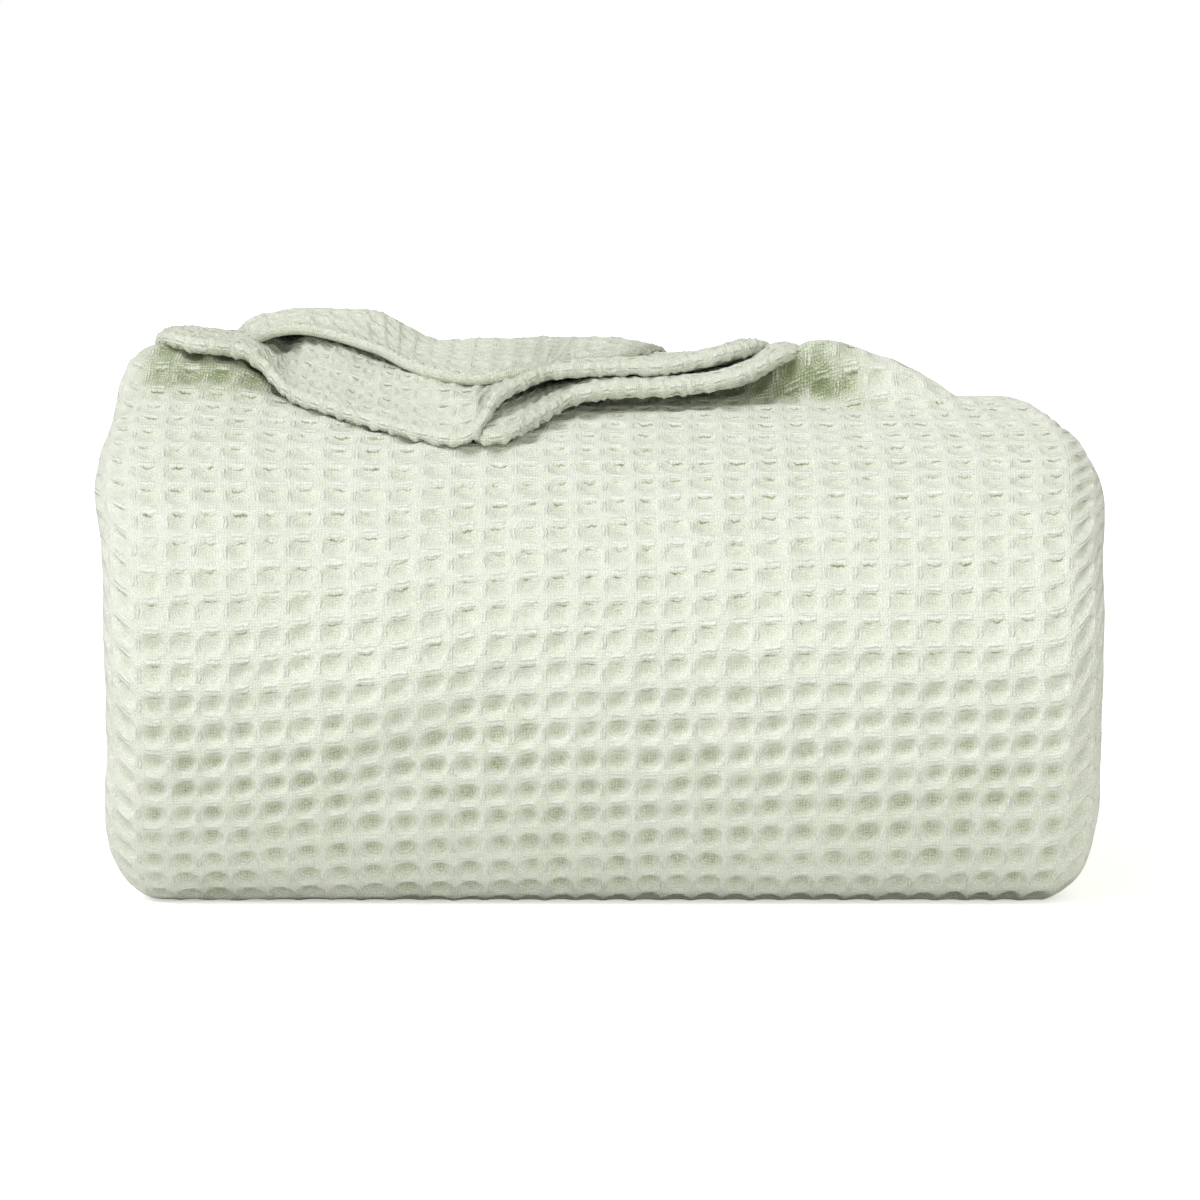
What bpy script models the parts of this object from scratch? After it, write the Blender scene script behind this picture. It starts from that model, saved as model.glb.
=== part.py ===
"""Waffle weave cotton blanket, folded into a thick soft block.

One cloth, modelled as one back-and-forth section of its layers. The layers are
folded in half together, so that the front is one big round fold with every
layer nested inside the next. The outermost layer goes on over the top, and its
end is pleated and tossed on the block as a loose flap that ends in the hem.

+X is to the right, -Y is the round front, +Z is up. Lengths are millimetres.
"""

import math

import bpy

# ---- the cloth ----
SHEET = 3.2  # thickness of the cloth, its ridges and hollows pressed together
WRAPS = 20  # nested wraps around the front fold, two layers of cloth each

# ---- the folded block ----
HALF_WIDTH = 196.5
DEPTH = 290.0
HUMP = 197.0  # height of the block behind its rounded shoulder
REAR_START = 145.0  # from here back, behind the front, the top goes down
REAR_BEND = 0.0013  # how quickly it bends down, per millimetre squared
REAR_SLOPE = 0.17  # its steepest slope
LEFT_RISE = 5.0  # the left end stands a little higher
MIDDLE = 97.0  # height of the line furthest forward
LOWER_REACH = 62.0  # how far back the curve under that line reaches
UPPER_REACH = 175.0  # and the longer curve over it
# handle lengths of those curves, 0.55 for a quarter circle: at the front line
# and at the other end
LOWER_FULLNESS = (0.42, 0.42)
UPPER_FULLNESS = (0.62, 0.47)
FRONT_STEP = 6.2  # from wrap to wrap at the front
CORE_TURN = 3.6  # radius of the innermost turn

# ---- its ends, left and right ----
CURL = 18.0  # the outermost wrap curls in over the last stretch of its width
CURL_RADIUS = 22.0
INSET = 18.0  # the wraps inside stop short of it
INSET_STEP = 2.5  # and step out again from wrap to wrap

# half widths of the outermost wrap at each height: (height, left, right)
END_SHAPE = (
    (0, 192, 190),
    (10, 194.5, 192),
    (20, 195, 193),
    (32, 194.5, 193.5),
    (60, 192.5, 193),
    (97, 192.5, 193),
    (125, 194.5, 194.5),
    (150, 197, 195.5),
    (165, 198, 195.5),
    (178, 199, 194.5),
    (188, 199, 191),
    (197, 197, 182),
    (210, 195, 178),
)

# soft creases of the outermost wrap: middle (across, up), half length, half
# width, turn in degrees from level, and height (below 0 for a trough)
CREASES = (
    (-172, 103, 26, 5, -6, -1.2),
    (-88, 84, 42, 13, 38, 1.8),
    (-62, 72, 46, 12, 38, -1.1),
    (188, 78, 8, 40, 0, -1.3),
    (30, 118, 90, 15, -3, 0.9),
    (120, 58, 60, 12, 4, 0.9),
    (-130, 40, 50, 11, 2, 0.8),
)

# ---- the flap ----
FLAP_GAP = 5.0  # from layer to layer, middle to middle
# Its fold lines, a row for each place across the cloth (0 left edge, 1 right
# edge). Each line has its place across the block and its distance behind the
# front: the fold hidden at the left that comes out as the lower cord, the lip
# that goes on as the upper cord, and the hem.
FLAP_LINES = (
    # cloth, cord across, cord back, lip across, lip back, hem across, hem back
    (0.00, -178, 190, -192, 113, -150, 178),
    (0.06, -166, 188, -179, 129, -142, 168),
    (0.12, -150, 181, -162, 140, -133, 158),
    (0.19, -129, 168, -139, 139, -121, 148),
    (0.26, -107, 149, -115, 120, -106, 142),
    (0.33, -84, 127, -88, 101, -90, 135),
    (0.39, -63, 103, -66, 88, -77, 128),
    (0.44, -44, 87, -48, 82, -66, 121),
    (0.50, -24, 91, -33, 91, -50, 115),
    (0.58, 2, 107, -14, 107, -34, 119),
    (0.66, 32, 119, 6, 117, -16, 129),
    (0.76, 68, 127, 27, 125, 2, 138),
    (0.86, 104, 136, 47, 132, 14, 144),
    (0.94, 130, 147, 63, 139, 22, 151),
    (1.00, 148, 159, 76, 148, 28, 160),
)
CALM_START = 178.0  # behind the front: from here back its ends stop curling in
TURN_BACK = 262.0  # behind the front: where the cloth turns up into the flap
CORD_BACK = 222.0  # the pleat between the two cords
HEM_BACK = 248.0  # the last turn, before the hem

# places where the flap stands up off the block: middle (across, behind the
# front), reach (across, back), and rise of its low, middle and top layers
LIFTS = (
    (-156, 150, 44, 76, 0.0, 6.5, 6.0),
    (-204, 108, 52, 62, 0.0, -12.0, 0.0),
    (-112, 158, 60, 66, 0.0, 2.0, 11.0),
    (94, 142, 76, 74, 12.5, 12.5, 12.5),
    (165, 165, 54, 62, -5.0, -5.0, -5.0),
)

# ---- how finely it is drawn ----
ACROSS_INSIDE = (-1, -0.66, 0, 0.66, 1)
ACROSS_OUTSIDE = (
    -1, -0.97, -0.93, -0.87, -0.77, -0.65, -0.53, -0.41, -0.29, -0.17, -0.05,
    0.07, 0.2, 0.34, 0.48, 0.62, 0.76, 0.87, 0.935, 0.97, 1,
)
ROUND_STEPS = 4  # steps in the half circle of a fold
FLAP_STEPS = (0.0, 0.14, 0.31, 0.51, 0.74, 1.0)  # rows from a cord to the pleat

LAYER_STEP = (HUMP - SHEET) / (2 * WRAPS - 1)
FRONT = -DEPTH / 2
SHIFT = (2.3, 1.2, 0.0)  # at the end, so that the middle of the whole is at 0, 0


def clamp(value, low=0.0, high=1.0):
    return min(max(value, low), high)


def mix(a, b, share):
    return a + (b - a) * share


def ease(value):
    value = clamp(value)
    return value * value * (3 - 2 * value)


def smooth_rows(rows, place, column):
    """Smooth curve through one column of a table whose first column rises."""
    last = len(rows) - 1
    i = 0
    while i < last - 1 and rows[i + 1][0] < place:
        i += 1
    x0, x1 = rows[i][0], rows[i + 1][0]
    y0, y1 = rows[i][column], rows[i + 1][column]
    whole = (y1 - y0) / (x1 - x0)
    before = rows[max(i - 1, 0)]
    after = rows[min(i + 2, last)]
    slope0 = (y1 - before[column]) / (x1 - before[0]) if i else whole
    slope1 = (after[column] - y0) / (after[0] - x0) if i < last - 1 else whole
    t = clamp((place - x0) / (x1 - x0))
    h = x1 - x0
    return (
        (1 + 2 * t) * (1 - t) ** 2 * y0
        + t * (1 - t) ** 2 * h * slope0
        + t * t * (3 - 2 * t) * y1
        + t * t * (t - 1) * h * slope1
    )


# ---- the section of the block ----
def rear_drop(back):
    """How far the top has gone down at a distance behind the front."""
    past = max(back - REAR_START, 0.0)
    turn = REAR_SLOPE / (2 * REAR_BEND)
    if past < turn:
        return REAR_BEND * past * past
    return REAR_BEND * turn * turn + REAR_SLOPE * (past - turn)


def quarter(start, corner, end, fullness_start, fullness_end, t):
    """Curve from start to end that leaves and arrives along the corner."""
    a = [mix(p, c, fullness_start) for p, c in zip(start, corner)]
    b = [mix(p, c, fullness_end) for p, c in zip(end, corner)]
    u = 1 - t
    return tuple(
        u ** 3 * p + 3 * u * u * t * m + 3 * u * t * t * n + t ** 3 * q
        for p, m, n, q in zip(start, a, b, end)
    )


def wrap_sizes(k):
    """Sizes of wrap k, 0 outermost: low, high, front, middle and two reaches."""
    inner = k / (WRAPS - 1)
    low = SHEET / 2 + k * LAYER_STEP
    high = HUMP - SHEET / 2 - k * LAYER_STEP
    front = FRONT + SHEET / 2 + k * FRONT_STEP
    middle = mix(MIDDLE, HUMP / 2, inner)
    reach_low = mix(LOWER_REACH, CORE_TURN, inner)
    reach_high = mix(UPPER_REACH, CORE_TURN, inner)
    return low, high, front, middle, reach_low, reach_high, inner


def curve_low(k, t):
    """Front curve under the middle line, t 0 at the floor and 1 at the front."""
    low, _, front, middle, reach, _, inner = wrap_sizes(k)
    at_front, at_floor = (mix(f, 0.55, inner) for f in LOWER_FULLNESS)
    start, end = (front + reach, low), (front, middle)
    return quarter(start, (front, low), end, at_floor, at_front, t)


def curve_high(k, t):
    """Front curve over the middle line, t 0 at the front and 1 on top."""
    _, high, front, middle, _, reach, inner = wrap_sizes(k)
    at_front, at_top = (mix(f, 0.55, inner) for f in UPPER_FULLNESS)
    start, end = (front, middle), (front + reach, high)
    return quarter(start, (front, high), end, at_front, at_top, t)


def back_end(j, s):
    """Where fold j at the back ends, a little uneven."""
    uneven = 2.6 * math.sin(2.1 * j + 0.4) + 1.6 * math.sin(0.9 * j + 2.3 * s)
    return DEPTH / 2 - SHEET / 2 - LAYER_STEP / 2 - 4.3 + uneven


# ---- placing the block's layers in space ----
def crease_height(x, z):
    total = 0.0
    for across, up, long, wide, turn, height in CREASES:
        c = math.cos(math.radians(turn))
        s = math.sin(math.radians(turn))
        dx, dz = x - across, z - up
        along = (dx * c + dz * s) / long
        over = (-dx * s + dz * c) / wide
        total += height * math.exp(-along * along - over * over)
    return total


def half_width(k, y, z, left):
    """Half width of wrap k at a height, on one side."""
    column = 1 if left else 2
    own = smooth_rows(END_SHAPE, z, column)
    if k == 0:
        return own
    shrink = max(1 - k / WRAPS, 0.05)
    outside = clamp(MIDDLE + (z - MIDDLE) / shrink, 0.0, HUMP)
    outer = smooth_rows(END_SHAPE, outside, column)
    uneven = 1.1 * math.sin(2.7 * k + 0.012 * y + (1 if left else 3))
    return min(own, outer + INSET_STEP * k) - INSET + uneven


def place_wrap(k, y, z, ny, nz, s, calm=0.0):
    """Point of wrap k: (y, z) in its section, (ny, nz) outward, s across.

    A calm of 1 takes the outermost wrap in to the width of the next one.
    """
    left = s < 0
    full = HALF_WIDTH if k == 0 else HALF_WIDTH - INSET
    end = half_width(k, y, z, left)
    if calm:
        end = mix(end, half_width(1, y, z, left), calm)
        full = mix(full, HALF_WIDTH - INSET, calm)
    squeeze = ease((abs(s) - 0.3) / 0.7)
    reach = abs(s) * full - (full - end) * squeeze
    inward = 0.0
    if k == 0:
        zone = CURL * (1 - calm)
        past = clamp(reach - (end - zone), 0.0, zone)
        inward = CURL_RADIUS - math.sqrt(CURL_RADIUS ** 2 - past * past)
    x = -reach if left else reach
    weight = max(1 - k / 5, 0.0) * clamp(-ny * 1.5)
    outward = weight * crease_height(x, z) - inward
    y += ny * outward
    z += nz * outward
    share = clamp((z - SHEET / 2) / HUMP)
    z += share * (LEFT_RISE * ease((-x - 80) / 100) - rear_drop(y - FRONT))
    return x, y, z


# ---- the outermost wrap's upper side, measured along the cloth ----
def build_shell():
    points = [curve_high(0, i / 60) for i in range(61)]
    y, z = points[-1]
    points += [(y + 2.0 * i, z) for i in range(1, 61)]
    length = [0.0]
    for a, b in zip(points, points[1:]):
        length.append(length[-1] + math.dist(a, b))
    return points, length


SHELL, SHELL_LENGTH = build_shell()


def shell_at(q):
    """Section point and outward direction at a distance along the cloth."""
    i = 0
    while i < len(SHELL) - 2 and SHELL_LENGTH[i + 1] < q:
        i += 1
    t = (q - SHELL_LENGTH[i]) / (SHELL_LENGTH[i + 1] - SHELL_LENGTH[i])
    a, b = SHELL[i], SHELL[i + 1]
    y, z = mix(a[0], b[0], t), mix(a[1], b[1], t)
    before = SHELL[max(i - 1, 0)]
    after = SHELL[min(i + 2, len(SHELL) - 1)]
    dy = mix(b[0] - before[0], after[0] - a[0], t)
    dz = mix(b[1] - before[1], after[1] - a[1], t)
    size = math.hypot(dy, dz)
    return y, z, -dz / size, dy / size


def along_cloth(back):
    """Distance along the cloth of a place, given behind the front."""
    y = FRONT + back
    i = 0
    while i < len(SHELL) - 2 and SHELL[i + 1][0] < y:
        i += 1
    t = (y - SHELL[i][0]) / (SHELL[i + 1][0] - SHELL[i][0])
    return mix(SHELL_LENGTH[i], SHELL_LENGTH[i + 1], t)


def shell_point(q, across):
    y, z, ny, nz = shell_at(q)
    calm = ease((y - FRONT - CALM_START) / (TURN_BACK - 8 - CALM_START))
    return place_wrap(0, y, z, ny, nz, across / HALF_WIDTH, calm)


def cross(a, b):
    return (
        a[1] * b[2] - a[2] * b[1],
        a[2] * b[0] - a[0] * b[2],
        a[0] * b[1] - a[1] * b[0],
    )


def minus(a, b):
    return tuple(p - q for p, q in zip(a, b))


def unit(a):
    size = math.sqrt(sum(p * p for p in a))
    return tuple(p / size for p in a)


def lift(q, across, layer):
    """Rise of the flap off the block; layer is 0 low, 1 middle, 2 top."""
    y = shell_at(q)[0] - FRONT
    total = 0.0
    for row in LIFTS:
        dx = (across - row[0]) / row[2]
        dy = (y - row[1]) / row[3]
        near = clamp(1 - dx * dx - dy * dy)
        rise = row[4:7]
        low = int(clamp(math.floor(layer), 0, 1))
        total += near * near * mix(rise[low], rise[low + 1], layer - low)
    return total


def flap_point(q, across, height, layer):
    """Point at a height over the outermost wrap, square to it."""
    across = clamp(across, -HALF_WIDTH, HALF_WIDTH)
    here = shell_point(q, across)
    du = minus(shell_point(q + 3, across), shell_point(q - 3, across))
    left = max(across - 4, -HALF_WIDTH)
    right = min(across + 4, HALF_WIDTH)
    ds = minus(shell_point(q, right), shell_point(q, left))
    n = unit(cross(ds, du))
    total = height + lift(q, across, layer)
    return tuple(p + m * total for p, m in zip(here, n))


# ---- rows of the cloth, from the inner end to the hem of the flap ----
def wrap_rows(k, ks, rows):
    """Rows of wrap k from the back of the lower run to the top, or reversed."""
    low, high, front, middle, reach_low, reach_high, inner = wrap_sizes(k)
    steps_low, steps_high, steps_run = ks
    own = []

    def add(y, z, ny, nz, run=None):
        own.append((k, y, z, ny, nz, run))

    for i in range(steps_run):
        add(None, low, 0, -1, (front + reach_low, i / steps_run, "low"))
    for i in range(steps_low):
        t = i / steps_low
        y, z = curve_low(k, t)
        a = curve_low(k, max(t - 0.02, 0))
        b = curve_low(k, min(t + 0.02, 1))
        size = math.dist(a, b)
        add(y, z, -(b[1] - a[1]) / size, (b[0] - a[0]) / size)
    for i in range(steps_high + 1):
        t = i / steps_high
        y, z = curve_high(k, t)
        a = curve_high(k, max(t - 0.02, 0))
        b = curve_high(k, min(t + 0.02, 1))
        size = math.dist(a, b)
        add(y, z, -(b[1] - a[1]) / size, (b[0] - a[0]) / size)
    if k:
        for i in range(1, steps_run + 1):
            add(None, high, 0, 1, (front + reach_high, 1 - i / steps_run, "high"))
    if k % 2:
        own.reverse()
    for row in own:
        rows.append(block_row(*row))


def run_fold(k, side):
    """Which fold at the back this end of wrap k goes into."""
    if side == "low":
        return k if k % 2 == 0 else k - 1
    return k - 1 if k % 2 == 0 else k


def block_row(k, y, z, ny, nz, run):
    if run is None:
        return lambda s: place_wrap(k, y, z, ny, nz, s)
    start, share, side = run
    j = run_fold(k, side)
    calm = 1 - share if k == 0 else 0.0

    def row(s):
        y = mix(back_end(j, s), start, share)
        return place_wrap(k, y, z, ny, nz, s, calm)

    return row


def back_fold_rows(j, rows):
    """The turn at the back from wrap j + 1 to wrap j."""
    low_side = j % 2 == 0
    z0 = wrap_sizes(j + 1)[0 if low_side else 1]
    z1 = wrap_sizes(j)[0 if low_side else 1]
    for i in range(1, ROUND_STEPS):
        angle = math.pi * i / ROUND_STEPS
        z = mix(z0, z1, (1 - math.cos(angle)) / 2)
        out = LAYER_STEP / 2 * math.sin(angle)
        k = j + 1 if angle < math.pi / 2 else j
        rows.append(turn_row(j, k, z, out, angle))


def turn_row(j, k, z, out, angle):
    def row(s):
        a = place_wrap(j + 1, back_end(j, s) + out, z, 0, 0, s)
        b = place_wrap(j, back_end(j, s) + out, z, 0, 0, s, 0.0 if j else 1.0)
        share = (1 - math.cos(angle)) / 2
        return tuple(mix(p, q, share) for p, q in zip(a, b))

    return row


def flap_rows(rows):
    """The flap: five layers, two cords at the front and the hem."""
    gap = FLAP_GAP

    def line(s, column):
        return smooth_rows(FLAP_LINES, (s + 1) / 2, column)

    def lower(s):
        return along_cloth(line(s, 2)), line(s, 1)

    def lip(s):
        return along_cloth(line(s, 4)), line(s, 3)

    def hem(s):
        return along_cloth(line(s, 6)), line(s, 5)

    def turn(s):
        return along_cloth(TURN_BACK + 2 * math.sin(3 * s)), HALF_WIDTH * s

    def pleat(s):
        across = mix(line(s, 1), line(s, 3), 0.4)
        return along_cloth(CORD_BACK + 4 * math.sin(2 * s + 1)), across

    def last(s):
        across = mix(line(s, 3), line(s, 5), 0.45)
        return along_cloth(HEM_BACK + 3 * math.sin(2.4 * s)), across

    def layer_rows(start, end, height, layer, shares):
        for share in shares:
            rows.append(layer_row(start, end, height, layer, share))

    def layer_row(start, end, height, layer, share):
        def row(s):
            q0, a0 = start(s)
            q1, a1 = end(s)
            return flap_point(mix(q0, q1, share), mix(a0, a1, share), height, layer)

        return row

    def fold_rows(place, height0, height1, layer0, layer1, outward):
        for i in range(ROUND_STEPS + 1):
            angle = math.pi * i / ROUND_STEPS
            rows.append(fold_row(place, height0, height1, layer0, layer1, outward, angle))

    def fold_row(place, height0, height1, layer0, layer1, outward, angle):
        share = (1 - math.cos(angle)) / 2
        out = outward * (height1 - height0) / 2 * math.sin(angle)

        def row(s):
            q, a = place(s)
            return flap_point(
                q + out, a, mix(height0, height1, share), mix(layer0, layer1, share)
            )

        return row

    def start(s):
        return SHELL_LENGTH[60], HALF_WIDTH * s

    forward = FLAP_STEPS[1:-1]
    backward = tuple(reversed(forward))
    layer_rows(start, turn, 0.0, 0, (0.33, 0.7))
    fold_rows(turn, 0.0, gap, 0, 0, 1)
    layer_rows(turn, pleat, gap, 0, (0.5, 1.0))
    layer_rows(lower, pleat, gap, 0, backward)
    fold_rows(lower, gap, 2 * gap, 0, 0, -1)
    layer_rows(lower, pleat, 2 * gap, 0, forward)
    fold_rows(pleat, 2 * gap, 3 * gap, 0, 1, 1)
    layer_rows(lip, pleat, 3 * gap, 1, backward)
    fold_rows(lip, 3 * gap, 4 * gap, 1, 1, -1)
    layer_rows(lip, pleat, 4 * gap, 1, forward)
    layer_rows(pleat, last, 4 * gap, 1, (0.0, 0.5))
    fold_rows(last, 4 * gap, 5 * gap, 1, 2, 1)
    layer_rows(last, hem, 5 * gap, 2, (0.25, 0.45, 0.65, 0.84, 1.0))


def all_rows():
    """Every row with its places across, from the inner end to the hem."""
    rows = []
    for k in range(WRAPS - 1, 0, -1):
        wrap_rows(k, (3, 3, 2) if k > 12 else (3, 4, 2), rows)
        back_fold_rows(k - 1, rows)
    inside = len(rows)
    wrap_rows(0, (6, 12, 2), rows)
    flap_rows(rows)
    across = []
    for i in range(len(rows)):
        across.append(ACROSS_INSIDE if i < inside else ACROSS_OUTSIDE)
    return rows, across


# ---- the solid ----
def offsets(rows, across):
    """Both faces of the cloth at every row."""
    upper, lower = [], []
    for i, row in enumerate(rows):
        up, down = [], []
        for s in across[i]:
            here = row(s)
            before = rows[i - 1](s) if i else None
            after = rows[i + 1](s) if i < len(rows) - 1 else None
            d0 = unit(minus(here, before)) if before else None
            d1 = unit(minus(after, here)) if after else None
            d0 = d0 or d1
            d1 = d1 or d0
            along = unit(tuple(p + q for p, q in zip(d0, d1)))
            lean = sum(p * q for p, q in zip(along, d1))
            step = 0.01
            sideways = minus(row(min(s + step, 1)), row(max(s - step, -1)))
            n = unit(cross(sideways, along))
            half = SHEET / 2 / max(lean, 0.75)
            up.append(tuple(p + m * half for p, m in zip(here, n)))
            down.append(tuple(p - m * half for p, m in zip(here, n)))
        upper.append(up)
        lower.append(down)
    return upper, lower


def zipper(first, second, places0, places1):
    """Triangles between two rows of points with their own places across."""
    out = []
    i = j = 0
    while i < len(first) - 1 or j < len(second) - 1:
        if j == len(second) - 1:
            go = True
        elif i == len(first) - 1:
            go = False
        else:
            middle0 = places0[i] + places0[i + 1]
            middle1 = places1[j] + places1[j + 1]
            go = middle0 <= middle1
        if go:
            out.append((first[i], first[i + 1], second[j]))
            i += 1
        else:
            out.append((first[i], second[j + 1], second[j]))
            j += 1
    return out


def build_blanket():
    rows, across = all_rows()
    upper, lower = offsets(rows, across)
    points, ids_up, ids_down = [], [], []
    for up, down in zip(upper, lower):
        ids_up.append(list(range(len(points), len(points) + len(up))))
        points.extend(up)
        ids_down.append(list(range(len(points), len(points) + len(down))))
        points.extend(down)
    faces = []
    last = len(rows) - 1
    for i in range(last):
        top = zipper(ids_up[i], ids_up[i + 1], across[i], across[i + 1])
        bottom = zipper(ids_down[i], ids_down[i + 1], across[i], across[i + 1])
        faces += top
        faces += [tuple(reversed(face)) for face in bottom]
        for end in (0, -1):
            a, b = ids_up[i][end], ids_up[i + 1][end]
            c, d = ids_down[i + 1][end], ids_down[i][end]
            rim = [(a, b, c), (a, c, d)]
            if end:
                rim = [tuple(reversed(face)) for face in rim]
            faces += rim
    for i in (0, last):
        for n in range(len(across[i]) - 1):
            a, b = ids_up[i][n], ids_up[i][n + 1]
            c, d = ids_down[i][n + 1], ids_down[i][n]
            cap = [(a, c, b), (a, d, c)]
            if i == last:
                cap = [tuple(reversed(face)) for face in cap]
            faces += cap
    mesh = bpy.data.meshes.new("blanket")
    points = [tuple(0.001 * (v + m) for v, m in zip(p, SHIFT)) for p in points]
    mesh.from_pydata(points, [], faces)
    mesh.update()
    return mesh


def cotton():
    material = bpy.data.materials.new("cotton")
    material.use_nodes = True
    shader = material.node_tree.nodes["Principled BSDF"]
    shader.inputs["Base Color"].default_value = (0.73, 0.78, 0.66, 1.0)
    shader.inputs["Roughness"].default_value = 0.95
    shader.inputs["Metallic"].default_value = 0.0
    return material


for old in list(bpy.data.objects):
    bpy.data.objects.remove(old)

blanket = bpy.data.objects.new("blanket", build_blanket())
bpy.context.scene.collection.objects.link(blanket)
blanket.data.materials.append(cotton())
for face in blanket.data.polygons:
    face.use_smooth = True
print("blanket triangles:", len(blanket.data.polygons))
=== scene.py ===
# %% [markdown]
# # A waffle weave cotton blanket, folded into a soft block
#
# This lesson dresses a plain folded solid as a real blanket. The solid gives
# the size and the folds. Here the same folds are worked out again with numpy,
# much finer, so that every waffle square of the weave can be real relief.
#
# The order is: sizes, helpers, the section, the waffle, the front, the flap,
# the layers inside, the cotton, and last the studio around it.

# %%
import math

import bpy
import numpy as np
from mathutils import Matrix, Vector


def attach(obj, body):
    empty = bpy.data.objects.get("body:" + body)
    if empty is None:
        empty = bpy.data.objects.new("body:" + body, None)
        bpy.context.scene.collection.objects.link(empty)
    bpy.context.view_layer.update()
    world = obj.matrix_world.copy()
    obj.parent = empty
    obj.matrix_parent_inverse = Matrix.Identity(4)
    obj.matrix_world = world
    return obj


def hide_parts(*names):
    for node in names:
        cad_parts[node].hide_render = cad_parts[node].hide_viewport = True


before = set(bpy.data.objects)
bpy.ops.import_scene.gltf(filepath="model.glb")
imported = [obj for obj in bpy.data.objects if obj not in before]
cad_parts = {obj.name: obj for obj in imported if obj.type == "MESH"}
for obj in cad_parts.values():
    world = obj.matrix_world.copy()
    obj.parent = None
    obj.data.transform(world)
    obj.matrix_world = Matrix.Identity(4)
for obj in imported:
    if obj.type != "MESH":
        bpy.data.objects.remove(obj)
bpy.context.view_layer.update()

# %% [markdown]
# ## Sizes
#
# The cloth is folded in half in many layers, so its section is a set of
# nested C shapes with one big round front. The driving sizes are the solid's,
# in millimetres: +X is to the right, -Y is the front, +Z is up. The shoulders
# are up to 3.5 mm fuller here, and the wave, the corner and the arches below
# are rounder and higher than in the solid, or only here.

# %% The cloth and the folded block
SHEET = 3.2  # thickness of the cloth
WRAPS = 20  # nested wraps around the front fold
HALF_WIDTH = 196.5
DEPTH = 290.0
HUMP = 197.0  # height of the block behind its rounded shoulder
REAR_START = 145.0  # from here back, behind the front, the top goes down
REAR_BEND = 0.0013
REAR_SLOPE = 0.17
LEFT_RISE = 5.0  # the left end stands a little higher
MIDDLE = 97.0  # height of the line furthest forward
LOWER_REACH = 62.0  # how far back the curve under that line reaches
UPPER_REACH = 175.0  # and the longer curve over it
LOWER_FULLNESS = (0.42, 0.42)
UPPER_FULLNESS = (0.62, 0.47)
FRONT_STEP = 6.2  # from wrap to wrap at the front
CORE_TURN = 3.6  # radius of the innermost turn
INSET = 18.0  # the wraps inside stop short of the outermost one
INSET_STEP = 2.5
LAYER_STEP = (HUMP - SHEET) / (2 * WRAPS - 1)
FRONT = -DEPTH / 2
SHIFT = np.array([2.3, 1.2, 0.0])  # brings the middle of the whole to 0, 0

# %% The rounded ends
CURL_RADIUS = 20.0
CURL_ANGLE = math.radians(74)
CURL_X = CURL_RADIUS * math.sin(CURL_ANGLE)
CURL_EXTRA = CURL_RADIUS * CURL_ANGLE - CURL_X  # cloth used up by the curl

# half widths at each height: (height, left, right)
END_SHAPE = (
    (0, 192, 190),
    (10, 194.5, 192),
    (20, 195, 193),
    (32, 194.5, 193.5),
    (60, 192.5, 193),
    (97, 192.5, 193),
    (125, 193.5, 193.5),
    (150, 195.5, 194.5),
    (165, 199.5, 197),
    (178, 202, 198),
    (188, 202, 194.5),
    (197, 199, 184),
    (210, 196, 180),
)

# %% Soft creases of the front
# middle (across, up), half length, half width, turn from level in degrees,
# and height, below 0 for a trough
CREASES = (
    (-172, 103, 26, 5, -6, -2.0),
    (-88, 84, 42, 13, 38, 2.3),
    (-62, 72, 46, 12, 38, -1.9),
    (188, 78, 8, 40, 0, -2.0),
    (30, 118, 90, 15, -3, 0.9),
    (120, 58, 60, 12, 4, 0.9),
    (-130, 40, 50, 11, 2, 0.8),
)

# %% The flap
# Each fold line of the flap is a row of places: across the block, behind the
# front, and the height of the cloth's middle over the block's top.
GAP = 4.4  # from layer to layer
FLAP_SHEET = 2.9  # the flap's cloth, pulled a little thinner
LOWER_CORD = (
    (-128, 168, 4.4),
    (-112, 152, 4.4),
    (-96, 141, 4.4),
    (-80, 129, 4.4),
    (-68, 114, 4.4),
    (-59, 99, 4.4),
    (-52, 86, 4.4),
    (-46, 77, 4.4),
    (-40, 78, 4.4),
    (-34, 83, 4.4),
    (-28, 92, 4.4),
    (-21, 104, 4.9),
    (-13, 114, 6.6),
    (0, 118, 8.4),
    (20, 122, 8.4),
    (36, 126, 8.8),
    (52, 130, 11.4),
    (66, 136, 16.6),
    (73, 142, 18.9),
    (79, 150, 18.6),
    (85, 162, 15.5),
    (95, 178, 10.0),
    (118, 200, 5.0),
)
# the size of the lower cord's fold, by place across
CORD_SIZE = (
    (-60, 4.0),
    (-44, 4.4),
    (-28, 5.4),
    (0, 5.8),
    (30, 5.3),
    (60, 4.8),
    (75, 3.5),
    (90, 3.3),
)
LIP = (
    (-177, 168, 17.2),
    (-174, 156, 19.0),
    (-168, 146, 19.6),
    (-159, 140, 18.4),
    (-150, 141, 17.8),
    (-143, 142, 16.8),
    (-138, 142, 14.8),
    (-133, 140, 11.4),
    (-129, 136, 7.8),
    (-124, 129, 4.6),
    (-116, 119, 3.2),
    (-106, 110, 3.2),
    (-92, 98, 3.2),
    (-78, 88, 3.2),
    (-66, 81, 3.3),
    (-57, 77, 4.0),
    (-50, 76, 6.6),
    (-46, 80, 10.6),
    (-42, 88, 14.6),
    (-33, 101, 16.6),
    (-23, 112, 17.8),
    (-10, 119, 17.4),
    (8, 125, 16.5),
    (24, 129, 16.0),
    (38, 135, 17.4),
    (48, 140, 19.4),
    (56, 147, 20.2),
    (62, 157, 20.0),
    (66, 168, 19.0),
)
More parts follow.
